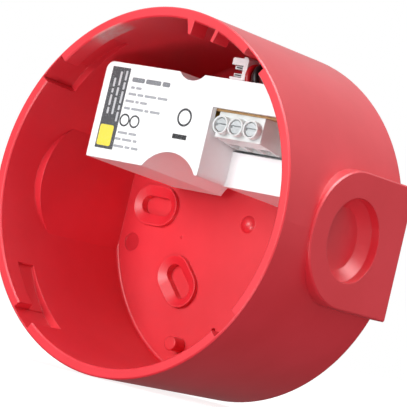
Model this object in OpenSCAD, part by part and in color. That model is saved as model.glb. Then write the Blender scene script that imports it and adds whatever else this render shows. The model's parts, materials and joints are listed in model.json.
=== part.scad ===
// Deep wall base of a fire alarm sounder, with a mains power module inside it.
// The sub-parts are drawn in a wall frame: x to the right, y up and z out from the wall.
// upright() then turns them so that +Z is up and the open front faces -Y.

/* [Drum] */
// Outer diameter of the drum at its open front
drum_d = 100; // [98:0.5:104]
// Depth of the drum from the wall to the front rim
drum_depth = 52.5; // [50:0.5:60]
// Wall thickness at the front rim
wall_t = 2.8; // [2.6:0.1:3.2]
// Thickness of the back plate
plate_t = 2.5; // [2.2:0.1:3]
// Draft of the outside, front radius minus back radius
draft = 0.5; // [0:0.1:1]

/* [Conduit entries] */
// Distance from the drum's axis to the flat pad face
pad_face = 50.6; // [50.4:0.1:52]
// Radius of the pad's round front end
pad_r = 18.4; // [16:0.2:19]
// Height of the entry's axis above the wall
pad_z = 22; // [19:0.5:24]
// Radius of the conduit entry
entry_r = 11.3; // [10:0.1:12]
// Straight depth of the conduit entry
entry_depth = 2.6; // [2:0.1:2.8]
// Radius of the knock-out disc at the bottom of the entry
knockout_r = 8.5; // [7:0.1:9]
// Thickness of the knock-out web
knockout_t = 0.95; // [0.6:0.05:1.4]

/* [Bayonet] */
// Angle of the first notch
notch_angle = 53.5; // [50:0.5:57]
// Angle that each notch covers
notch_span = 9.4; // [7:0.2:11]
// Depth of the notches into the wall
notch_depth = 2.1; // [1.5:0.1:2.2]
// Height of the pocket floor above the wall
pocket_z = 40.6; // [38:0.2:43]
// Height of the lip's underside above the wall
lip_z = 47; // [45:0.2:49]

/* [Wall fixings] */
// Distance between the two round fixing holes
fixing_pitch = 76.6; // [74:0.2:78]
// Radius of the fixing holes
fixing_r = 2.25; // [2:0.05:2.6]
// Length of the knock-out fixing slots
slot_l = 11; // [9:0.5:12]
// Width of the knock-out fixing slots
slot_w = 5.2; // [4.5:0.1:5.5]

/* [Power module] */
// Left edge of the module
mod_x0 = -29; // [-30:0.5:-27]
// Right edge of the module
mod_x1 = 34.3; // [33:0.1:34.5]
// Right edge of the label block
label_x1 = 10.9; // [10.5:0.1:11]
// Lower edge of the module at its base
mod_y0 = 6.2; // [5.8:0.1:6.6]
// Upper edge of the module
mod_y1 = 34.5; // [34.2:0.1:35]
// Height of the label face above the wall
mod_z1 = 42.4; // [42:0.1:44]
// Height of the low face above the wall
low_z1 = 29.9; // [28.5:0.1:30.5]
// Wall thickness of the module's cover
cover_t = 1.5; // [1.2:0.1:1.6]

/* [Terminal block] */
// Distance between neighbouring terminals
pitch = 5.08; // [5:0.02:5.2]
// Rise of each wire clamp when its screw is tightened
clamp_rise = 2.3; // [1.8:0.1:2.3]

/* [Hidden] */
$fn = 96;
eps = 0.01;
over = 1;                                  // how far a cutter runs past a face
clear = 0.1;                               // how far a cutter stays off a neighbouring face

red = [0.82, 0.12, 0.16];
white = [0.95, 0.95, 0.95];
steel = [0.72, 0.73, 0.75];

front_r = drum_d / 2;
back_r = front_r - draft;
mouth_r = front_r - wall_t;
floor_r = mouth_r - 0.3;
rim_chamfer = 0.35;
floor_fillet = 0.8;

pad_edge = 0.4;
pad_inner = pad_face - 6;                  // inner face of the pad's inside boss
knockout_face = pad_inner + knockout_t;

slot_boss = [slot_l + 5, slot_w + 6.4];    // length and width of a slot's boss
slot_boss_z = plate_t + 1.4;
slot_web = 0.45;
slot_places = [[-33.4, 0.2, 0], [-19.4, -19.7, -45]];
fixing_boss_r = 5.2;

pocket_shift = 10.3;                       // eccentricity that tapers a bayonet pocket
pocket_peak = 7;                           // angle past the notch where a pocket is deepest
pocket_r = mouth_r + notch_depth - pocket_shift * cos(pocket_peak);
pocket_run = [-21.5, 5];

catch_angle = 82.6;
rib_angle = 72.2;
catch_len = 6;

tray_z0 = 5;
tray_t = 1.5;
tray_z1 = tray_z0 + tray_t;
cover_z0 = tray_z1 + 0.1;
mod_round = 45.6;                          // radius that trims the module's corners
strip_y0 = 26.5;                           // lower edge of the strip above the terminals
low_y1 = 16.8;                             // upper edge of the low block
face_y0 = mod_y0 + 1.5;                    // lower edge of the label face
big_notch = [0.6, 1.3, 11.3];
small_notch = [1.4, 38.3, 5.8];
join_x = 8;                                // where the blocks overlap inside

board_y = [25.9, 27.1];
board_x = [-27.2, 32.5];
board_z = [tray_z1 - 0.7, 40.5];
groove_gap = 0.05;

shelf_z = 25.4;
shelf_t = 1.4;
shelf_x = [label_x1 + 0.4, 32.4];
shelf_y = [low_y1 + 0.4, board_y[0] - 0.2];

tray_screw_places = [[-23.5, 30], [24, 11.4]];
tray_screw_r = 1.4;
tray_boss_r = 3.4;

poles = 3;
term_x = 19.5;                             // middle of the terminal block
term_y = 22.2;                             // screw axes
term_w = poles * pitch + 0.2;
term_z = [25.5, 40];
tube_top = 42.2;
tube_r = 2.48;
tube_bore = 2.05;
seat_z = 40.2;
clamp_z0 = 29.4;
clamp_h = 6.2;
chamber_z = [clamp_z0 - 0.5, clamp_z0 + clamp_h + clamp_rise + 0.5];
clamp_size = [3.7, 4.5];
clamp_plate = 1.2;
clamp_nut = 1.7;
shank_r = 1.45;
thread_gap = 0.05;
tongue_z = [33, 33.6];
tongue_w = 2.3;
pin_r = 0.5;

plug_x = [4.6, 10];
plug_y = [36, 42];
plug_z = [17, 31];
plug_wall = 0.9;
plug_pocket_z = 24;                        // floor of the plug's open front pocket
bay_y = [36.8, 38.8];                      // lower sides of the plug's two contact bays
bay_t = 1.1;
clip_x = [5.4, 9.2];
lead_gate_x = [10.6, 17.2];                // opening in the cover for the leads
lead_gate_z = 33;
lead_d = 1.7;
lead_sides = 8;
red_route = [
    [7.3, 37.4, 17], [7.3, 37.4, 15.5], [7.3, 37.4, 14], [7.6, 37.4, 12.3], [8.5, 37.4, 10.8],
    [10, 37.4, 10], [11.6, 37.4, 10.2], [12.8, 37.5, 11.4], [13.3, 37.7, 13], [13.2, 38.1, 15],
    [12.7, 38.7, 17.5], [12, 39.4, 20.5], [11.5, 40, 23.5], [11.2, 40.4, 26.5], [11.2, 40.4, 29],
    [11.3, 39.6, 31], [11.5, 38, 31.9], [11.8, 36.2, 32], [12.2, 34.3, 31.4], [12.6, 32, 30.6],
    [12.9, 29.5, 30.2], [13, 27.2, 30],
];
black_route = [
    [7.3, 39.4, 17], [7.3, 39.4, 15], [7.3, 39.5, 13], [7.7, 39.7, 11], [8.8, 39.9, 9.4],
    [10.6, 40.1, 8.4], [12.8, 40.2, 8.3], [14.8, 40.2, 9.2], [16, 40, 10.9], [16.3, 39.8, 13],
    [16, 39.6, 15.5], [15.4, 39.8, 18.5], [14.6, 40.2, 22], [13.8, 40.7, 25.5], [13.4, 40.8, 28.5],
    [13.5, 40, 30.8], [13.8, 38.3, 31.8], [14.3, 36.3, 31.8], [14.9, 34.3, 31], [15.4, 32, 30],
    [15.7, 29.5, 29.4], [15.8, 27.2, 29.2],
];

core_x = [-26, -10.6];
core_y = [13.6, 20.6];
core_z = [9, 31];
core_leg = 2.4;
core_mid = 4.6;                            // width of the core's middle leg
core_mid_x = (core_x[0] + core_x[1]) / 2;

// ---- shared shapes ----

module upright() {
    rotate([90, 0, 0]) children();
}

// Box between two corners.
module block(low, high) {
    translate(low) cube(high - low);
}

// Rectangle between two corners with round corners.
module round_rect(x0, y0, x1, y1, r) {
    translate([x0 + r, y0]) square([x1 - x0 - 2 * r, y1 - y0]);
    translate([x0, y0 + r]) square([x1 - x0, y1 - y0 - 2 * r]);
    for (x = [x0 + r, x1 - r], y = [y0 + r, y1 - r]) translate([x, y]) circle(r, $fn = 48);
}

// Slab from z0 to z1 over a 2-D outline.
module slab(z0, z1) {
    translate([0, 0, z0]) linear_extrude(z1 - z0) children();
}

// Wedge of a full turn between two angles.
module sector(a0, a1) {
    reach = drum_d;
    polygon([[0, 0], reach * [cos(a0), sin(a0)], reach * [cos(a1), sin(a1)]]);
}

// Long round-ended solid along x, whose half-width goes from r0 to r1 over its height.
module long_cone(length, r0, r1, height) {
    half = length / 2 - max(r0, r1);
    for (s = [-1, 1]) translate([s * half, 0, 0]) cylinder(r1 = r0, r2 = r1, h = height);
    rotate([90, 0, 90]) translate([0, 0, -half]) linear_extrude(2 * half)
        polygon([[-r0, 0], [r0, 0], [r1, height], [-r1, height]]);
}

// Rod along y.
module rod_y(x, y0, y1, z, r) {
    translate([x, y1, z]) rotate([90, 0, 0]) cylinder(r = r, h = y1 - y0);
}

// ---- base shell ----

module drum_profile() {
    arc_steps = 6;
    polygon(concat(
        [[0, 0], [back_r, 0], [front_r, drum_depth - rim_chamfer],
         [front_r - rim_chamfer, drum_depth], [mouth_r + rim_chamfer, drum_depth],
         [mouth_r, drum_depth - rim_chamfer]],
        [for (i = [0:arc_steps]) let (a = 90 * i / arc_steps)
            [floor_r - floor_fillet * (1 - cos(a)),
             plate_t + floor_fillet * (1 - sin(a))]],
        [[0, plate_t]]));
}

// D-shaped solid around the entry's axis, between two distances from the drum's axis.
module pad(x0, x1, r) {
    translate([x0, 0, 0]) rotate([90, 0, 90]) linear_extrude(x1 - x0) {
        translate([0, pad_z]) circle(r);
        translate([-r, 0]) square([2 * r, pad_z]);
    }
}

// Chamfered outer edge of the pad.
module pad_lip() {
    translate([pad_face - pad_edge, 0, pad_z]) rotate([0, 90, 0])
        cylinder(r1 = pad_r, r2 = pad_r - pad_edge, h = pad_edge);
    linear_extrude(pad_z) polygon([
        [pad_face - pad_edge, -pad_r], [pad_face, -pad_r + pad_edge],
        [pad_face, pad_r - pad_edge], [pad_face - pad_edge, pad_r]]);
}

module conduit_entry() {
    translate([pad_face - entry_depth, 0, pad_z]) rotate([0, 90, 0])
        cylinder(r = entry_r, h = entry_depth + over);
    translate([knockout_face, 0, pad_z]) rotate([0, 90, 0])
        cylinder(r1 = knockout_r, r2 = entry_r, h = pad_face - entry_depth - knockout_face + eps);
}

module bayonet_cut() {
    intersection() {
        slab(pocket_z, drum_depth + over) sector(-notch_span / 2, notch_span / 2);
        translate([0, 0, pocket_z]) cylinder(r = mouth_r + notch_depth, h = drum_depth);
    }
    intersection() {
        slab(pocket_z, lip_z) sector(pocket_run[0], pocket_run[1]);
        rotate([0, 0, pocket_peak]) translate([pocket_shift, 0, pocket_z])
            cylinder(r = pocket_r, h = lip_z - pocket_z);
    }
}

// Snap catch and stop rib that stand in from the front rim.
module catch_and_rib() {
    z0 = drum_depth - catch_len;
    root = mouth_r + 0.6;
    rotate([0, 0, catch_angle]) slab(z0, drum_depth)
        polygon([[root, -0.3], [mouth_r - 3.6, -0.3], [mouth_r - 3.6, 0.5], [root, 2.5]]);
    rotate([0, 0, rib_angle]) slab(z0, drum_depth)
        polygon([[root, -0.5], [mouth_r - 3, -0.5], [mouth_r - 3, 0.5], [root, 0.5]]);
}

// Places a shape at both of each slot's two places, opposite each other.
module at_slots() {
    for (turn = [0, 180], p = slot_places)
        rotate([0, 0, turn]) translate([p[0], p[1], 0]) rotate([0, 0, p[2]]) children();
}

module slot_cut() {
    sink = 1.3;
    translate([0, 0, slot_web]) long_cone(slot_l, slot_w / 2, slot_w / 2, drum_depth / 4);
    translate([0, 0, slot_boss_z - sink])
        long_cone(slot_boss[0] - 0.8, slot_w / 2, slot_boss[1] / 2 - 0.4, sink + eps);
}

// Small raised and sunk marks on the back plate.
module plate_marks() {
    nub_r = 3.2;
    nub_h = 1.2;
    intersection() {
        translate([0.2, 0, plate_t + nub_h - nub_r]) sphere(nub_r);
        slab(plate_t - 1, plate_t + 2) circle(nub_r);
    }
    translate([-13.7, -37.1, plate_t - eps]) {
        cylinder(r = 2.05, h = 4.4);
        translate([0, 0, 4.4 - eps]) cylinder(r1 = 2.05, r2 = 1.8, h = 0.25);
    }
    translate([-22.2, -7.2, plate_t]) cylinder(r1 = 0.5, r2 = 0.25, h = 0.35);
}

module base_shell() {
    color(red) upright() difference() {
        union() {
            difference() {
                union() {
                    rotate_extrude($fn = 180) drum_profile();
                    for (side = [0, 180]) rotate([0, 0, side]) {
                        pad(mouth_r - 1.5, pad_face - pad_edge + eps, pad_r);
                        pad_lip();
                    }
                }
                for (turn = [0:90:270]) rotate([0, 0, notch_angle + turn]) bayonet_cut();
                translate([0, 0, plate_t + floor_fillet])
                    cylinder(r1 = floor_r - clear, r2 = mouth_r - clear, h = drum_depth - plate_t);
            }
            for (side = [0, 180]) rotate([0, 0, side])
                pad(pad_inner, mouth_r, pad_r);
            catch_and_rib();
            at_slots() translate([0, 0, plate_t - eps])
                long_cone(slot_boss[0], slot_boss[1] / 2, slot_boss[1] / 2, slot_boss_z - plate_t);
            for (s = [-1, 1]) translate([0, s * fixing_pitch / 2, plate_t - eps])
                cylinder(r = fixing_boss_r, h = slot_boss_z - plate_t);
            for (p = tray_screw_places) translate([p[0], p[1], plate_t - eps])
                cylinder(r = tray_boss_r, h = tray_z0 - plate_t + eps);
            plate_marks();
        }
        for (side = [0, 180]) rotate([0, 0, side]) conduit_entry();
        at_slots() slot_cut();
        for (s = [-1, 1]) translate([0, s * fixing_pitch / 2, -over])
            cylinder(r = fixing_r, h = drum_depth / 2);
        for (p = tray_screw_places) translate([p[0], p[1], 0.8])
            cylinder(r = tray_screw_r + thread_gap, h = tray_z0);
        translate([-39.8, -11.4, plate_t - 0.3]) cylinder(r = 2.6, h = over);
        translate([-3.2, -31, plate_t - 1.5]) cylinder(r = 0.75, h = 2 * over);
    }
}

// ---- power module housing ----

// Label block and the strip above the terminals, drawn in by inset on every side.
module tall_outline(inset) {
    difference() {
        intersection() {
            union() {
                round_rect(mod_x0 + inset, mod_y0 + inset, label_x1 - inset, mod_y1 - inset,
                           2.4 - inset);
                round_rect(join_x, strip_y0 + inset, mod_x1 - inset, mod_y1 - inset, 0.5);
            }
            circle(mod_round - inset, $fn = 180);
        }
        translate([big_notch[0], big_notch[1]]) circle(big_notch[2] + inset);
        translate([small_notch[0], small_notch[1]]) circle(small_notch[2] + inset);
    }
}

// Low block under the terminals, drawn in by inset.
module low_outline(inset) {
    difference() {
        round_rect(join_x, mod_y0 + inset, mod_x1 - inset, low_y1 - inset, 0.6);
        translate([big_notch[0], big_notch[1]]) circle(big_notch[2] + inset);
    }
}

// Right end between the low block and the strip.
module end_outline() {
    intersection() {
        translate([join_x, low_y1 - 2]) square([mod_x1 - join_x, strip_y0 - low_y1 + 4]);
        circle(mod_round, $fn = 180);
    }
}

// Everything above the module's sloping lower wall.
module sloped_limit(inset) {
    reach = drum_d;
    rotate([90, 0, 90]) translate([0, 0, -reach / 2]) linear_extrude(reach) polygon([
        [mod_y0 + inset, tray_z0], [face_y0 + inset, mod_z1],
        [face_y0 + inset, mod_z1 + over], [reach / 2, mod_z1 + over],
        [reach / 2, 0], [mod_y0 + inset, 0]]);
}

module cover_cavity() {
    tall_top = mod_z1 - cover_t;
    low_top = low_z1 - cover_t;
    intersection() {
        union() {
            slab(cover_z0 - over, tall_top) tall_outline(cover_t);
            slab(cover_z0 - over, low_top) low_outline(cover_t);
        }
        sloped_limit(cover_t);
    }
}

module module_cover() {
    niche_x1 = mod_x1 - cover_t;
    color(white) upright() difference() {
        intersection() {
            union() {
                slab(cover_z0, mod_z1) tall_outline(0);
                slab(cover_z0, low_z1) union() {
                    low_outline(0);
                    end_outline();
                }
            }
            sloped_limit(0);
        }
        cover_cavity();
        block([label_x1, low_y1, 0], [niche_x1, strip_y0, drum_depth]);
        block([label_x1 - 3, term_y + 0.8, 0], [label_x1 + over, strip_y0, board_z[1] + clear]);
        block([label_x1 - 3, strip_y0 - over, 0], [niche_x1, board_y[1] + clear, board_z[1] + clear]);
        block([lead_gate_x[0], strip_y0, 0], [lead_gate_x[1], mod_y1 + over, lead_gate_z]);
    }
}

module tray_lug(x0, y0, x1, y1) {
    block([x0, y0, tray_z1 - eps], [x1, y1, tray_z1 + 4]);
}

module module_tray() {
    web = 1.2;
    color(white) upright() difference() {
        union() {
            slab(tray_z0, tray_z1) union() {
                tall_outline(0);
                low_outline(0);
                end_outline();
                translate([clip_x[0], mod_y1 - 1])
                    square([clip_x[1] - clip_x[0], plug_y[1] + 1.25 - mod_y1 + 1]);
            }
            block([shelf_x[0], shelf_y[0], shelf_z - shelf_t], [shelf_x[1], shelf_y[1], shelf_z]);
            block([shelf_x[0], shelf_y[0], tray_z0], [shelf_x[0] + web, shelf_y[1], shelf_z]);
            block([shelf_x[1] - web, shelf_y[0], tray_z0], [shelf_x[1], shelf_y[1], shelf_z]);
            tray_lug(mod_x0 + 1.8, 13, mod_x0 + 3, 22);
            tray_lug(-22, mod_y0 + 2.1, -14, mod_y0 + 3.3);
            tray_lug(-20, mod_y1 - 3, -8, mod_y1 - 1.8);
            tray_lug(16, mod_y0 + 2.1, 20, mod_y0 + 3.3);
            for (y = [plug_y[0] - 1.2, plug_y[1] + 0.05])
                block([clip_x[0], y, tray_z0], [clip_x[1], y + 1.15, plug_z[0] + 4]);
            block([clip_x[0], plug_y[0] - 1.2, plug_z[0] - 5], [clip_x[1] - 3.2, plug_y[0] + 1, plug_z[0]]);
        }
        block([board_x[0] - groove_gap, board_y[0] - groove_gap, board_z[0] - groove_gap],
              [board_x[1] + groove_gap, board_y[1] + groove_gap, tray_z1 + over]);
        for (p = tray_screw_places) translate([p[0], p[1], 0])
            cylinder(r = tray_screw_r + 0.2, h = tray_z1 + over);
    }
}

module module_label() {
    edge = 1.2;
    label_t = 0.12;
    color([0.98, 0.98, 0.98]) upright() slab(mod_z1, mod_z1 + label_t) difference() {
        round_rect(mod_x0 + edge, face_y0 + edge, label_x1 - edge, mod_y1 - edge, 1.4);
        translate([big_notch[0], big_notch[1]]) circle(big_notch[2] + edge);
        translate([small_notch[0], small_notch[1]]) circle(small_notch[2] + edge);
    }
}

module tray_screws() {
    color(steel) upright() for (p = tray_screw_places) translate([p[0], p[1], 0]) {
        translate([0, 0, 1.2]) cylinder(r = tray_screw_r, h = tray_z1 - 1.2 + eps);
        difference() {
            translate([0, 0, tray_z1]) cylinder(r1 = 2.4, r2 = 2.1, h = 1.6);
            for (turn = [0, 90]) rotate([0, 0, turn]) translate([0, 0, tray_z1 + 1.6])
                cube([2.4, 0.6, 1.6], center = true);
        }
    }
}

// ---- circuit board and what stands on it ----

function pole_x(i) = term_x + (i - (poles + 1) / 2) * pitch;

module circuit_board() {
    color([0.72, 0.55, 0.33]) upright() difference() {
        block([board_x[0], board_y[0], board_z[0]], [board_x[1], board_y[1], board_z[1]]);
        for (i = [1:poles])
            rod_y(pole_x(i), board_y[0] - over, board_y[1] + over, tongue_z[0] + 0.3, pin_r + 0.05);
    }
}

module transformer_core() {
    color([0.25, 0.25, 0.27]) upright() difference() {
        block([core_x[0], core_y[0], core_z[0]], [core_x[1], core_y[1], core_z[1]]);
        for (x = [core_x[0] + core_leg, core_mid_x + core_mid / 2])
            block([x, core_y[0] - over, core_z[0] + core_leg],
                  [x + (core_x[1] - core_x[0] - core_mid) / 2 - core_leg, core_y[1] + over,
                   core_z[1] - core_leg]);
    }
}

module transformer_coil() {
    gap = 0.15;
    half = [4.9, 6.6];
    mid_y = (core_y[0] + core_y[1]) / 2;
    flange = 1.2;
    z0 = core_z[0] + core_leg + gap;
    z1 = core_z[1] - core_leg - gap;
    color([0.85, 0.65, 0.2]) upright() difference() {
        union() {
            block([core_mid_x - half[0] + 0.4, mid_y - half[1] + 0.6, z0],
                  [core_mid_x + half[0] - 0.4, mid_y + half[1] - 0.6, z1]);
            for (z = [z0, z1 - flange])
                block([core_mid_x - half[0], mid_y - half[1], z],
                      [core_mid_x + half[0], board_y[0], z + flange]);
        }
        block([core_mid_x - core_mid / 2 - gap, core_y[0] - gap, 0],
              [core_mid_x + core_mid / 2 + gap, core_y[1] + gap, drum_depth]);
    }
}

module filter_capacitor() {
    color([0.93, 0.75, 0.1]) upright() translate([0.2, board_y[0], 36])
        rotate([90, 0, 0]) linear_extrude(10.2) round_rect(-7.8, -4.4, 7.8, 4.4, 0.6);
}

// Round can on the board, with a crimp groove near its foot.
module can(x, z, r, height) {
    groove = 0.35;
    translate([x, board_y[0], z]) rotate([90, 0, 0]) rotate_extrude() polygon([
        [0, 0], [r, 0], [r, 1.2], [r - groove, 1.6], [r, 2], [r, height - 0.5],
        [r - 0.5, height], [0, height]]);
}

module reservoir_capacitor() {
    color([0.12, 0.12, 0.2]) upright() can(-4, 25, 4, 11);
}

module output_capacitor() {
    color([0.12, 0.12, 0.2]) upright() can(4.8, 25.5, 3.15, 10.6);
}

module rectifier() {
    color([0.1, 0.1, 0.1]) upright()
        block([-8.4, board_y[0] - 3.2, 9], [0.2, board_y[0], 15.4]);
}

module fuse() {
    color([0.35, 0.1, 0.08]) upright() can(5, 13, 3.9, 7.7);
}

module varistor() {
    color([0.15, 0.3, 0.7]) upright() translate([-4, board_y[0] - 4.3, 16.2])
        cylinder(r = 4.2, h = 3.4);
}

module choke() {
    flange = 1.2;
    color([0.2, 0.2, 0.2]) upright() translate([18, board_y[0], 15]) rotate([90, 0, 0])
        rotate_extrude() polygon([
            [0, 0], [4, 0], [4, flange], [3.3, flange], [3.3, 7.6 - flange],
            [4, 7.6 - flange], [4, 7.6], [0, 7.6]]);
}

module regulator() {
    color([0.15, 0.15, 0.15]) upright() {
        block([22.8, board_y[0] - 3, 11.5], [30.6, board_y[0], 22.3]);
        for (x = [24.4, 26.7, 29])
            block([x - 0.35, board_y[0] - 0.6, 8], [x + 0.35, board_y[0], 11.5 + eps]);
    }
}

// ---- terminal block ----

module terminal_body() {
    x0 = term_x - term_w / 2;
    front_y0 = 19;
    foot_y0 = 17.5;
    color([0.86, 0.9, 0.9]) upright() difference() {
        union() {
            translate([x0, 0, 0]) rotate([90, 0, 90]) linear_extrude(term_w) polygon([
                [foot_y0, term_z[0]], [board_y[0], term_z[0]], [board_y[0], term_z[1]],
                [front_y0, term_z[1]], [foot_y0, low_z1 + 0.4]]);
            for (i = [1:poles]) translate([pole_x(i), term_y, term_z[1] - eps])
                cylinder(r = tube_r, h = tube_top - term_z[1] + eps);
        }
        for (i = [1:poles]) translate([pole_x(i), term_y, 0]) {
            translate([0, 0, seat_z]) cylinder(r = tube_bore, h = tube_top);
            translate([0, 0, chamber_z[0]]) cylinder(r = shank_r + 0.1, h = seat_z);
            block([-2.1, -2.5, chamber_z[0]], [2.1, 2.6, chamber_z[1]]);
            block([-1.9, -term_y / 2, 29.9], [1.9, 0, 34.6]);
            block([-tongue_w / 2 - 0.05, 0, tongue_z[0] - 0.05],
                  [tongue_w / 2 + 0.05, term_y, tongue_z[1] + 0.05]);
        }
    }
}

module terminal_contacts() {
    color(steel) upright() for (i = [1:poles]) {
        block([pole_x(i) - tongue_w / 2, term_y - 2.2, tongue_z[0]],
              [pole_x(i) + tongue_w / 2, board_y[0], tongue_z[1]]);
        rod_y(pole_x(i), board_y[0] - eps, board_y[1], tongue_z[0] + 0.3, pin_r);
    }
}

module terminal_screw(i) {
    color(steel) upright() translate([pole_x(i), term_y, 0]) difference() {
        union() {
            translate([0, 0, tongue_z[1] + 0.4]) cylinder(r = shank_r, h = seat_z - tongue_z[1] - 0.4);
            translate([0, 0, seat_z]) cylinder(r = tube_bore - 0.1, h = 1.3);
            translate([0, 0, seat_z + 1.3 - eps])
                cylinder(r1 = tube_bore - 0.1, r2 = tube_bore - 0.35, h = 0.3);
        }
        translate([0, 0, seat_z + 1.6]) cube([4.4, 0.7, 1.6], center = true);
    }
}

module wire_clamp(i) {
    color([0.8, 0.7, 0.4]) upright() translate([pole_x(i), term_y, clamp_z0]) difference() {
        block([-clamp_size[0] / 2, -clamp_size[1] / 2, 0],
              [clamp_size[0] / 2, clamp_size[1] / 2, clamp_h]);
        block([-1.4, -clamp_size[1], clamp_plate], [1.4, clamp_size[1], clamp_h - clamp_nut]);
        cylinder(r = shank_r + thread_gap, h = clamp_h + over);
    }
}

// ---- output plug and its leads ----

module output_plug() {
    color(white) upright() difference() {
        union() {
            slab(plug_z[0], plug_z[1])
                round_rect(plug_x[0], plug_y[0], plug_x[1], plug_y[1], 0.5);
            block([6.6, plug_y[1] - eps, 24], [8, plug_y[1] + 0.7, 29]);
        }
        block([plug_x[0] - over, bay_y[0] - clear, plug_pocket_z],
              [plug_x[1] - 1.4, bay_y[1] + bay_t + clear, plug_z[1] + over]);
        for (y = bay_y)
            block([plug_x[0] + plug_wall, y, plug_z[0] + 2],
                  [plug_x[1] - 1.4, y + bay_t, plug_pocket_z + over]);
    }
}

module plug_contacts() {
    gap = 0.1;
    fold = 0.3;
    color(steel) upright() for (y = bay_y) difference() {
        block([plug_x[0] + plug_wall + gap, y + gap, plug_z[0] + 2],
              [plug_x[1] - 1.4 - gap, y + bay_t - gap, plug_z[1] - 0.4]);
        block([plug_x[0] + plug_wall + 0.5, y + gap + fold, plug_z[0] + 5],
              [plug_x[1] - 1.9, y + bay_t - gap - fold, plug_z[1]]);
    }
}

function unit(v) = v / norm(v);
function heading(p, i) = unit(p[min(i + 1, len(p) - 1)] - p[max(i - 1, 0)]);

// Points of one ring of a tube around point i of a route.
function ring(p, i, r) = let (
    t = heading(p, i),
    u = unit(cross(t, [1, 1, 0])),
    v = cross(t, u))
    [for (k = [0:lead_sides - 1]) let (a = 360 * k / lead_sides)
        p[i] + r * (cos(a) * u + sin(a) * v)];

module tube(route, r) {
    n = lead_sides;
    last = len(route) - 1;
    rings = [for (i = [0:last]) each ring(route, i, r)];
    sides = [for (i = [0:last - 1], k = [0:n - 1]) let (j = (k + 1) % n)
        each [[i * n + k, i * n + j, (i + 1) * n + j], [i * n + k, (i + 1) * n + j, (i + 1) * n + k]]];
    polyhedron(rings, concat([[for (k = [n - 1:-1:0]) k]], sides,
                             [[for (k = [0:n - 1]) last * n + k]]));
}

module lead_red() {
    color([0.6, 0.03, 0.05]) upright() tube(red_route, lead_d / 2);
}

module lead_black() {
    color([0.08, 0.08, 0.08]) upright() tube(black_route, lead_d / 2);
}

base_shell();
module_tray();
module_cover();
module_label();
circuit_board();
transformer_core();
transformer_coil();
filter_capacitor();
reservoir_capacitor();
output_capacitor();
rectifier();
fuse();
varistor();
choke();
regulator();
terminal_body();
terminal_contacts();
for (i = [1:poles]) {
    terminal_screw(i);
    wire_clamp(i);
}
output_plug();
plug_contacts();
lead_red();
lead_black();
tray_screws();
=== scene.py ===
import json
import math

import bmesh
import bpy
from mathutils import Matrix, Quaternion, Vector


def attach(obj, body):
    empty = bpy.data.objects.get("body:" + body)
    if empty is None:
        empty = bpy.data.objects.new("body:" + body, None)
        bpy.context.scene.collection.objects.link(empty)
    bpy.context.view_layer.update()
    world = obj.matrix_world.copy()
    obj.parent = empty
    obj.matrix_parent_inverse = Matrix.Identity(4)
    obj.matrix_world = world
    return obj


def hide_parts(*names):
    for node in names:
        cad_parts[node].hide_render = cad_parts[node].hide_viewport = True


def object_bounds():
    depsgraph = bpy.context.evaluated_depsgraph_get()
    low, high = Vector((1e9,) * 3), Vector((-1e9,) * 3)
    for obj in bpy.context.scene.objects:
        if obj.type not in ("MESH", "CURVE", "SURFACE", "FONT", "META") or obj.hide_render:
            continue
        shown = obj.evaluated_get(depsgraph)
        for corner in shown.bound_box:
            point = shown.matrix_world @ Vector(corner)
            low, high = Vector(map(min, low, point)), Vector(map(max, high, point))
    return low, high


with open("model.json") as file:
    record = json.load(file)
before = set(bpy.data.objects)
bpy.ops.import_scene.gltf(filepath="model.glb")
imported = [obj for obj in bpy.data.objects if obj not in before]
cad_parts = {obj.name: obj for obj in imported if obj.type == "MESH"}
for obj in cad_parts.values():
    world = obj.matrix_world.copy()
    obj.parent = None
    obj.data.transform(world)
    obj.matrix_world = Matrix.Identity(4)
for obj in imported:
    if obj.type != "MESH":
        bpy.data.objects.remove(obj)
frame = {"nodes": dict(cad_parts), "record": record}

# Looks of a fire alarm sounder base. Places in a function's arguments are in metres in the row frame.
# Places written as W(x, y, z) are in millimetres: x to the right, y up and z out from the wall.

cad_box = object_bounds()
nodes = frame["nodes"]
MM = 0.001
LABEL_FACE = 42.52                        # height of the label's face above the wall
DRUM_MOUTH = 47.2                         # radius of the drum's mouth
WORN_ANGLE = 119                          # middle of the worn stretch, anticlockwise from x
SUNK_DISC = (-39.8, -11.4)                # middle of the sunk disc on the back plate
LEAD_DIAMETER = 1.7
BOARD_BACK = 27.1                         # upper face of the circuit board, where its solder joints are


def W(x, y, z):
    """A point of the wall frame in millimetres, as a point of the row frame in metres."""
    return Vector((x, -z, y)) * MM


# ---- material tools ----

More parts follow.
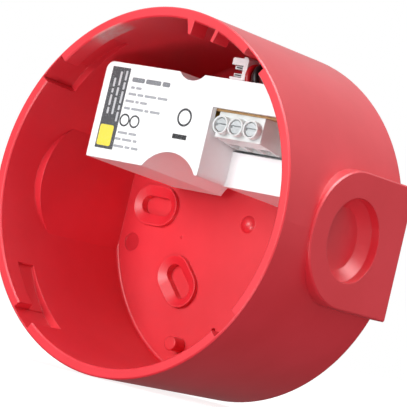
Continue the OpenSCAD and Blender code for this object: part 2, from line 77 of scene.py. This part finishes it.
class Graph:
    """Short calls for building one material's nodes."""

    def __init__(self, name, **sockets):
        self.material = bpy.data.materials.new(name)
        self.material.use_nodes = True
        self.tree = self.material.node_tree
        self.shader = self.tree.nodes["Principled BSDF"]
        for socket, value in sockets.items():
            self.shader.inputs[socket.replace("_", " ")].default_value = value
        self.place = self.tree.nodes.new("ShaderNodeTexCoord").outputs["Object"]

    def put(self, kind, inputs=(), **settings):
        """Adds a node; inputs maps a socket's name or number to a value or to another node's output."""
        node = self.tree.nodes.new("ShaderNode" + kind)
        for key, value in settings.items():
            setattr(node, key, value)
        for key, value in dict(inputs).items():
            if isinstance(value, bpy.types.NodeSocket):
                self.tree.links.new(value, node.inputs[key])
            else:
                node.inputs[key].default_value = value
        return node

    def noise(self, scale, detail=4.0, roughness=0.55, at=None):
        return self.put("TexNoise", {"Vector": at or self.place, "Scale": scale, "Detail": detail,
                                     "Roughness": roughness}).outputs["Fac"]

    def math(self, operation, a, b=0.0):
        return self.put("Math", {0: a, 1: b}, operation=operation).outputs[0]

    def ramp(self, value, low, high, to_low=0.0, to_high=1.0):
        return self.put("MapRange", {"Value": value, "From Min": low, "From Max": high,
                                     "To Min": to_low, "To Max": to_high}).outputs["Result"]

    def mix(self, factor, a, b):
        """Colour a where factor is 0 and colour b where it is 1."""
        return self.put("Mix", {0: factor, 6: a, 7: b}, data_type="RGBA").outputs[2]

    def drive(self, socket, value):
        self.tree.links.new(value, self.shader.inputs[socket])

    def bump(self, height, strength, distance, edge=0.0):
        """Bump from a height, over softly rounded edges of that radius in metres."""
        inputs = {"Height": height, "Strength": strength, "Distance": distance}
        if edge:
            inputs["Normal"] = self.put("Bevel", {"Radius": edge}, samples=6).outputs[0]
        self.drive("Normal", self.put("Bump", inputs).outputs[0])


def rgb(red, green, blue):
    """A colour from its sRGB values of 0 to 255."""
    def linear(c):
        c /= 255
        return c / 12.92 if c <= 0.04045 else ((c + 0.055) / 1.055) ** 2.4
    return (linear(red), linear(green), linear(blue), 1.0)


def moulded(name, colour, deeper, roughness, grain=2500, depth=0.00002, edge=0.00025, **sockets):
    """Injection moulded plastic: cloudy colour, uneven gloss, fine grain and rounded edges."""
    g = Graph(name, **sockets)
    cloud = g.ramp(g.noise(45), 0.35, 0.65)
    g.drive("Base Color", g.mix(cloud, colour, deeper))
    g.drive("Roughness", g.ramp(g.noise(60, 2), 0.3, 0.7, roughness - 0.02, roughness + 0.03))
    height = g.math("ADD", g.noise(grain, 2), g.math("MULTIPLY", g.noise(160, 1), 0.5))
    g.bump(height, 0.35, depth, edge)
    return g


def metal(name, colour, roughness, stretch=(1, 1, 1), **sockets):
    """Metal with drawn marks along one axis and dull patches."""
    g = Graph(name, Metallic=1.0, **sockets)
    along = g.put("Mapping", {"Vector": g.place, "Scale": stretch}).outputs[0]
    marks = g.noise(1800, 3, at=along)
    dull = g.noise(350, 5)
    darker = tuple(c * 0.72 for c in colour[:3]) + (1.0,)
    g.drive("Base Color", g.mix(g.ramp(dull, 0.4, 0.7), colour, darker))
    g.drive("Roughness", g.math("ADD", g.ramp(marks, 0.3, 0.7, roughness - 0.07, roughness + 0.07),
                                g.ramp(dull, 0.45, 0.75, 0, 0.15)))
    g.bump(marks, 0.3, 0.00001, 0.0001)
    return g


def red_plastic():
    """The drum's gloss red plastic, worn dull on the mouth's upper left lip and darker in the sunk disc."""
    g = moulded("red_plastic", rgb(226, 46, 60), rgb(219, 39, 52), 0.36, 2200, 0.000012, 0.0003,
                IOR=1.5, Coat_Weight=0.5, Coat_Roughness=0.35)
    x, y, z = g.put("SeparateXYZ", {0: g.place}).outputs
    base = g.shader.inputs["Base Color"].links[0].from_socket

    off = g.math("ABSOLUTE", g.math("SUBTRACT", g.math("ARCTAN2", z, x), math.radians(WORN_ANGLE)))
    along = g.ramp(off, math.radians(4), math.radians(8), 1, 0)
    radius = g.math("SQRT", g.math("ADD", g.math("MULTIPLY", x, x), g.math("MULTIPLY", z, z)))
    inside = g.ramp(radius, (DRUM_MOUTH + 0.25) * MM, (DRUM_MOUTH + 0.6) * MM, 1, 0)
    forward = g.ramp(y, -46.6 * MM, -47.4 * MM)
    worn = g.math("MULTIPLY", g.math("MULTIPLY", along, forward), inside)
    worn = g.math("MULTIPLY", worn, g.ramp(g.noise(700, 3), 0.3, 0.6, 0.45, 0.9))
    base = g.mix(worn, base, rgb(205, 150, 148))

    across = g.math("SUBTRACT", x, SUNK_DISC[0] * MM)
    up = g.math("SUBTRACT", z, SUNK_DISC[1] * MM)
    gap = g.math("SQRT", g.math("ADD", g.math("MULTIPLY", across, across), g.math("MULTIPLY", up, up)))
    sunk = g.math("MULTIPLY", g.ramp(gap, 2.7 * MM, 2.5 * MM), g.ramp(y, -1.2 * MM, -1.8 * MM))
    g.drive("Base Color", g.mix(sunk, base, rgb(200, 26, 42)))
    return g


def ink(name, colour, speck):
    """Printing ink, with small gaps where the film shows through."""
    g = Graph(name, Roughness=0.4)
    gaps = g.ramp(g.noise(5000, 2), 0.62, 0.72, 0, 0.6)
    g.drive("Base Color", g.mix(gaps, colour, speck))
    g.bump(g.noise(6000, 1), 0.2, 0.000004)
    return g


def laminate():
    """Paper laminate circuit board: pressed fibres."""
    g = Graph("board", IOR=1.5)
    flat = g.put("Mapping", {"Vector": g.place, "Scale": (1, 6, 3)}).outputs[0]
    fibre = g.noise(900, 6, 0.7, flat)
    g.drive("Base Color", g.mix(g.ramp(fibre, 0.35, 0.65), rgb(190, 150, 98), rgb(158, 116, 70)))
    g.drive("Roughness", g.ramp(fibre, 0.3, 0.7, 0.42, 0.6))
    g.bump(fibre, 0.3, 0.00003)
    return g


def ferrite():
    g = Graph("ferrite")
    grain = g.noise(2600, 5, 0.7)
    g.drive("Base Color", g.mix(grain, rgb(46, 46, 50), rgb(72, 72, 76)))
    g.drive("Roughness", g.ramp(g.noise(400), 0.3, 0.7, 0.45, 0.65))
    g.bump(grain, 0.4, 0.00004, 0.0002)
    return g


def winding():
    """Tape over the coil's turns, which show through it as fine ridges."""
    g = Graph("winding", Coat_Weight=0.3)
    turns = g.put("TexWave", {"Vector": g.place, "Scale": 320, "Distortion": 0.4, "Detail": 2},
                  bands_direction="Y").outputs["Fac"]
    cloud = g.noise(150, 4)
    g.drive("Base Color", g.mix(cloud, rgb(236, 190, 60), rgb(205, 150, 40)))
    g.drive("Roughness", g.ramp(cloud, 0.3, 0.7, 0.28, 0.42))
    g.bump(turns, 0.5, 0.0001, 0.0002)
    return g


def sleeve():
    """A can's dark plastic sleeve with the pale stripe of its negative side."""
    g = Graph("can_sleeve")
    stripe = g.put("TexWave", {"Vector": g.place, "Scale": 60, "Distortion": 0},
                   bands_direction="X").outputs["Fac"]
    pale = g.ramp(stripe, 0.93, 0.96)
    g.drive("Base Color", g.mix(pale, rgb(32, 34, 66), rgb(150, 155, 175)))
    g.drive("Roughness", g.ramp(g.noise(500, 3), 0.3, 0.7, 0.25, 0.4))
    g.bump(g.noise(900, 2), 0.2, 0.00002, 0.0002)
    return g


MATERIALS = {
    "red_plastic": red_plastic(),
    "white_plastic": moulded("white_plastic", rgb(246, 246, 247), rgb(242, 242, 244), 0.42, 1600,
                             0.000004, 0.0003, IOR=1.5),
    "label_film": moulded("label_film", rgb(250, 250, 250), rgb(246, 247, 249), 0.3, 900, 0.000006, 0),
    "board": laminate(),
    "ferrite": ferrite(),
    "winding": winding(),
    "film_capacitor": moulded("film_capacitor", rgb(232, 178, 40), rgb(222, 165, 30), 0.35, 1200),
    "can_sleeve": sleeve(),
    "black_epoxy": moulded("black_epoxy", rgb(30, 30, 32), rgb(40, 40, 42), 0.5, 3000, 0.00004),
    "fuse_case": moulded("fuse_case", rgb(98, 34, 26), rgb(84, 28, 22), 0.4, 1500),
    "varistor_coat": moulded("varistor_coat", rgb(40, 84, 178), rgb(32, 72, 160), 0.3, 700, 0.00008, 0.001),
    "terminal_nylon": moulded("terminal_nylon", rgb(232, 236, 236), rgb(222, 227, 227), 0.3, 1500,
                              0.00002, 0.0002, Subsurface_Weight=0.4,
                              Subsurface_Radius=(1.0, 1.0, 1.0), Subsurface_Scale=0.0015),
    "plated_steel": metal("plated_steel", rgb(212, 216, 218), 0.42, (1, 8, 1)),
    "clamp_brass": metal("clamp_brass", rgb(200, 194, 176), 0.32, (8, 1, 1)),
    "red_pvc": moulded("red_pvc", rgb(176, 16, 28), rgb(160, 12, 22), 0.4, 1500, 0.00002, 0),
    "black_pvc": moulded("black_pvc", rgb(24, 24, 26), rgb(32, 32, 34), 0.42, 1500, 0.00002, 0),
}


def finish_cad_nodes():
    """Gives every CAD node the material of its slot in the record."""
    for row in frame["record"]["subparts"]:
        mesh = nodes[row["node"]].data
        mesh.materials.clear()
        mesh.materials.append(MATERIALS[row["material_slot"]].material)


# ---- mesh tools ----

def add_piece(name, mesh, material, body):
    """A detail piece that rides on a body and has the look of a material slot."""
    piece = bpy.data.objects.new(name, mesh)
    bpy.context.scene.collection.objects.link(piece)
    mesh.materials.append(material)
    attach(piece, body)


# ---- printing on the label ----

PRINT_T = 0.02                            # thickness of the ink
PRINT_OVER = 0.02                         # extra height of ink that is printed over the dark band
FINE = 0.7                                # height of the fine lines


def print_outline(bm, points, lift):
    """A thin printed island from its outline in the label's plane. lift is extra height over other ink."""
    low = [bm.verts.new(W(x, y, LABEL_FACE)) for x, y in points]
    high = [bm.verts.new(W(x, y, LABEL_FACE + PRINT_T + lift)) for x, y in points]
    bm.faces.new(high)
    bm.faces.new(low[::-1])
    for i in range(len(points)):
        j = (i + 1) % len(points)
        bm.faces.new((low[i], low[j], high[j], high[i]))


def rounded(x0, y0, x1, y1, radius, steps=4):
    """Outline of a rectangle with round corners, anticlockwise."""
    corners = [(x1 - radius, y0 + radius, -90), (x1 - radius, y1 - radius, 0),
               (x0 + radius, y1 - radius, 90), (x0 + radius, y0 + radius, 180)]
    points = []
    for cx, cy, start in corners:
        for i in range(steps + 1):
            a = math.radians(start + 90 * i / steps)
            points.append((cx + radius * math.cos(a), cy + radius * math.sin(a)))
    return points


def broken_line(x0, x1, y, height, words):
    """Short bars along a line, in place of a line of print. words are the bars' shares of its length."""
    gap = 0.5
    room = x1 - x0 - gap * (len(words) - 1)
    outlines = []
    for share in words:
        width = room * share / sum(words)
        outlines.append(rounded(x0, y - height / 2, x0 + width, y + height / 2, height * 0.3, 2))
        x0 += width + gap
    return outlines


def arc_band(cx, cy, inner, outer, steps=40):
    """Outlines of the two halves of a ring."""
    halves = []
    for start in (0, 180):
        turns = [math.radians(start + 180 * i / steps) for i in range(steps + 1)]
        halves.append([(cx + outer * math.cos(a), cy + outer * math.sin(a)) for a in turns]
                      + [(cx + inner * math.cos(a), cy + inner * math.sin(a)) for a in reversed(turns)])
    return halves


def print_on_label(name, outlines, colour, lift=0.0):
    """One printed piece of one colour from its outlines."""
    bm = bmesh.new()
    for points in outlines:
        print_outline(bm, points, lift)
    bmesh.ops.recalc_face_normals(bm, faces=bm.faces)
    mesh = bpy.data.meshes.new(name)
    bm.to_mesh(mesh)
    bm.free()
    add_piece(name, mesh, ink(name, colour, rgb(236, 236, 238)).material, "cover")


BAND_LINES = (                            # x, lower end, upper end, bars
    (-24.9, 20, 30, (3, 5, 2, 4)), (-23.1, 20, 32, (6, 3, 5)), (-21.2, 18.2, 32.4, (4, 2, 5, 3, 4)),
)
FINE_LINES = (                            # left end, right end, y, bars
    (-18.6, -14.8, 28.1, (2, 3)), (-19, -5, 26.3, (4, 3, 6, 5)), (-19.5, -11.7, 24.3, (5, 2, 4)),
    (-19.4, -6.5, 22.3, (3, 6, 2, 5)), (-19.6, -12.9, 15.5, (5, 4)), (-20, -12.2, 13.7, (3, 5, 2)),
    (-20, -11.2, 11.7, (6, 3, 4)),
)


def make_label_print():
    """Generic print: a dark band with pale lines, a plain yellow tab, grey lines and three plain rings."""
    print_on_label("print_band", [rounded(-26.6, 10.4, -20.1, 33.2, 0.25)], rgb(74, 76, 80))
    pale = []
    for x, low, high, bars in BAND_LINES:
        pale += [[(x - v, u) for u, v in bar] for bar in broken_line(low, high, 0, FINE, bars)]
    print_on_label("print_band_lines", pale, rgb(196, 198, 202), PRINT_OVER)
    print_on_label("print_tab", [rounded(-26.2, 11.2, -21.3, 17, 0.6)], rgb(232, 216, 74), PRINT_OVER)
    print_on_label("print_heading", broken_line(-18.8, -5.2, 30.3, 1.3, (5, 6, 3)), rgb(128, 131, 136))
    lines = []
    for left, right, y, bars in FINE_LINES:
        lines += broken_line(left, right, y, FINE, bars)
    print_on_label("print_lines", lines, rgb(162, 165, 170))
    print_on_label("print_bar", [rounded(-0.4, 16.4, 4.5, 17.7, 0.1)], rgb(34, 35, 38))
    marks = arc_band(-18.2, 19, 1.3, 1.8) + arc_band(-14.6, 19, 1.3, 1.8) + arc_band(2.3, 22.4, 1.9, 2.5)
    print_on_label("print_marks", marks, rgb(52, 54, 58))


# ---- leads ----

RED_ROUTE = [
    (7.3, 37.4, 17), (7.3, 37.4, 15.5), (7.3, 37.4, 14), (7.6, 37.4, 12.3), (8.5, 37.4, 10.8),
    (10, 37.4, 10), (11.6, 37.4, 10.2), (12.8, 37.5, 11.4), (13.3, 37.7, 13), (13.2, 38.1, 15),
    (12.7, 38.7, 17.5), (12, 39.4, 20.5), (11.5, 40, 23.5), (11.2, 40.4, 26.5), (11.2, 40.4, 29),
    (11.3, 39.6, 31), (11.5, 38, 31.9), (11.8, 36.2, 32), (12.2, 34.3, 31.4), (12.6, 32, 30.6),
    (12.9, 29.5, 30.2), (13, 27.2, 30),
]
BLACK_ROUTE = [
    (7.3, 39.4, 17), (7.3, 39.4, 15), (7.3, 39.5, 13), (7.7, 39.7, 11), (8.8, 39.9, 9.4),
    (10.6, 40.1, 8.4), (12.8, 40.2, 8.3), (14.8, 40.2, 9.2), (16, 40, 10.9), (16.3, 39.8, 13),
    (16, 39.6, 15.5), (15.4, 39.8, 18.5), (14.6, 40.2, 22), (13.8, 40.7, 25.5), (13.4, 40.8, 28.5),
    (13.5, 40, 30.8), (13.8, 38.3, 31.8), (14.3, 36.3, 31.8), (14.9, 34.3, 31), (15.4, 32, 30),
    (15.7, 29.5, 29.4), (15.8, 27.2, 29.2),
]


def make_lead(name, route, slot):
    """A smooth insulated lead along its route, in place of the CAD tube."""
    curve = bpy.data.curves.new(name + "_insulation", "CURVE")
    curve.dimensions = "3D"
    curve.bevel_depth = LEAD_DIAMETER / 2 * MM
    curve.bevel_resolution = 5
    curve.use_fill_caps = True
    spline = curve.splines.new("NURBS")
    spline.points.add(len(route) - 1)
    for point, place in zip(spline.points, route):
        point.co = (*W(*place), 1.0)
    spline.order_u = 4
    spline.use_endpoint_u = True
    spline.resolution_u = 6
    curve.materials.append(MATERIALS[slot].material)
    lead = bpy.data.objects.new(name + "_insulation", curve)
    bpy.context.scene.collection.objects.link(lead)
    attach(lead, "base")
    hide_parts(name)


# ---- solder ----

# Where the pins come through the board, as x and the distance from the wall.
JOINTS = [(-24, 12), (-24, 27.5), (-12.6, 12), (-12.6, 27.5), (-6.2, 25), (-1.8, 25), (3.3, 25.5), (6.3, 25.5),
          (-5.5, 36), (5.9, 36), (2.6, 13), (7.4, 13), (-7, 10.4), (-1.2, 10.4), (-7, 14), (-1.2, 14),
          (15.2, 15), (20.8, 15), (24.4, 9), (26.7, 9), (29, 9), (14.42, 33.3), (19.5, 33.3), (24.58, 33.3)]


def make_solder():
    """A small cone of solder round each pin on the board's outer face."""
    steps = 16
    # Radius and height of each ring of the cone.
    profile = [(1.15, 0), (0.8, 0.18), (0.52, 0.42), (0.38, 0.72), (0.3, 0.95), (0.12, 1.05)]
    bm = bmesh.new()
    for x, z in JOINTS:
        rings = [[bm.verts.new(W(x + r * math.cos(math.tau * k / steps), BOARD_BACK + h,
                                 z + r * math.sin(math.tau * k / steps))) for k in range(steps)]
                 for r, h in profile]
        for a, b in zip(rings, rings[1:]):
            for k in range(steps):
                j = (k + 1) % steps
                bm.faces.new((a[k], a[j], b[j], b[k])).smooth = True
        bm.faces.new(rings[0][::-1])
        bm.faces.new(rings[-1])
    bmesh.ops.recalc_face_normals(bm, faces=bm.faces)
    mesh = bpy.data.meshes.new("solder_joints")
    bm.to_mesh(mesh)
    bm.free()
    solder = metal("solder", rgb(206, 208, 210), 0.22).material
    add_piece("solder_joints", mesh, solder, "base")


# ---- studio ----

def area_light(name, place, aim, size, power):
    data = bpy.data.lights.new(name, "AREA")
    data.shape = "DISK"
    data.size = size
    data.energy = power
    light = bpy.data.objects.new(name, data)
    light.location = place
    light.rotation_mode = "QUATERNION"
    light.rotation_quaternion = (Vector(aim) - Vector(place)).to_track_quat("-Z", "Y")
    bpy.context.scene.collection.objects.link(light)
    return light


def make_sky():
    """White all round to look at; as a light it is bright above and dim below."""
    world = bpy.data.worlds.new("studio")
    world.use_nodes = True
    tree = world.node_tree
    tree.nodes.clear()
    put = tree.nodes.new
    height = put("ShaderNodeSeparateXYZ")
    tree.links.new(put("ShaderNodeTexCoord").outputs["Generated"], height.inputs[0])
    level = put("ShaderNodeMapRange")
    level.interpolation_type = "SMOOTHSTEP"
    tree.links.new(height.outputs["Z"], level.inputs["Value"])
    limits = {"From Min": -0.4, "From Max": 0.6, "To Min": 0.12, "To Max": 0.62}
    for socket, value in limits.items():
        level.inputs[socket].default_value = value
    seen = put("ShaderNodeMix")
    tree.links.new(put("ShaderNodeLightPath").outputs["Is Camera Ray"], seen.inputs[0])
    tree.links.new(level.outputs[0], seen.inputs[2])
    seen.inputs[3].default_value = 1.0
    background = put("ShaderNodeBackground")
    background.inputs["Color"].default_value = (1.0, 1.0, 1.0, 1.0)
    tree.links.new(seen.outputs[0], background.inputs["Strength"])
    tree.links.new(background.outputs[0], put("ShaderNodeOutputWorld").inputs[0])
    bpy.context.scene.world = world


def make_floor():
    """A pale floor that the object stands on. It throws no light back, as on a dark bench."""
    mesh = bpy.data.meshes.new("floor")
    bm = bmesh.new()
    bmesh.ops.create_grid(bm, x_segments=2, y_segments=2, size=30)
    bm.to_mesh(mesh)
    bm.free()
    floor = bpy.data.objects.new("floor", mesh)
    floor.location.z = cad_box[0].z - 0.3 * MM
    bpy.context.scene.collection.objects.link(floor)
    g = Graph("floor", Roughness=0.9, Emission_Strength=0.85, Emission_Color=(1.0, 1.0, 1.0, 1.0))
    g.drive("Base Color", g.mix(g.noise(3), rgb(150, 150, 150), rgb(146, 146, 146)))
    mesh.materials.append(g.material)
    floor.visible_glossy = False
    floor.visible_diffuse = False
    floor.visible_shadow = False


def make_camera():
    place, aim = Vector((0.4388, -0.5623, -0.0325)), Vector((0.0020, -0.026, 0.0019))
    roll = math.radians(13.37)
    data = bpy.data.cameras.new("camera")
    data.lens = 226
    camera = bpy.data.objects.new("camera", data)
    camera.location = place
    camera.rotation_mode = "QUATERNION"
    camera.rotation_quaternion = (aim - place).to_track_quat("-Z", "Y") @ Quaternion((0, 0, 1), roll)
    bpy.context.scene.collection.objects.link(camera)
    bpy.context.scene.camera = camera


make_camera()
make_sky()
make_floor()
area_light("top_light", (0.2, -0.05, 0.9), (0, 0, 0), 0.8, 5)
area_light("front_light", (-0.12, -1.1, 0.2), (0, 0, 0), 0.5, 9)
area_light("side_light", (1.0, 0.08, -0.1), (0, 0, 0), 0.6, 1.6)
area_light("fill_light", (0.45, -0.85, -0.5), (0, 0, 0), 0.35, 4)
sheen = area_light("sheen_light", (0.35, -0.1, 0.9), (0, 0, 0), 0.9, 14)
sheen.visible_diffuse = False             # only adds a soft sheen
bpy.context.scene.view_settings.view_transform = "Standard"

finish_cad_nodes()
make_label_print()
make_solder()
make_lead("lead_red", RED_ROUTE, "red_pvc")
make_lead("lead_black", BLACK_ROUTE, "black_pvc")
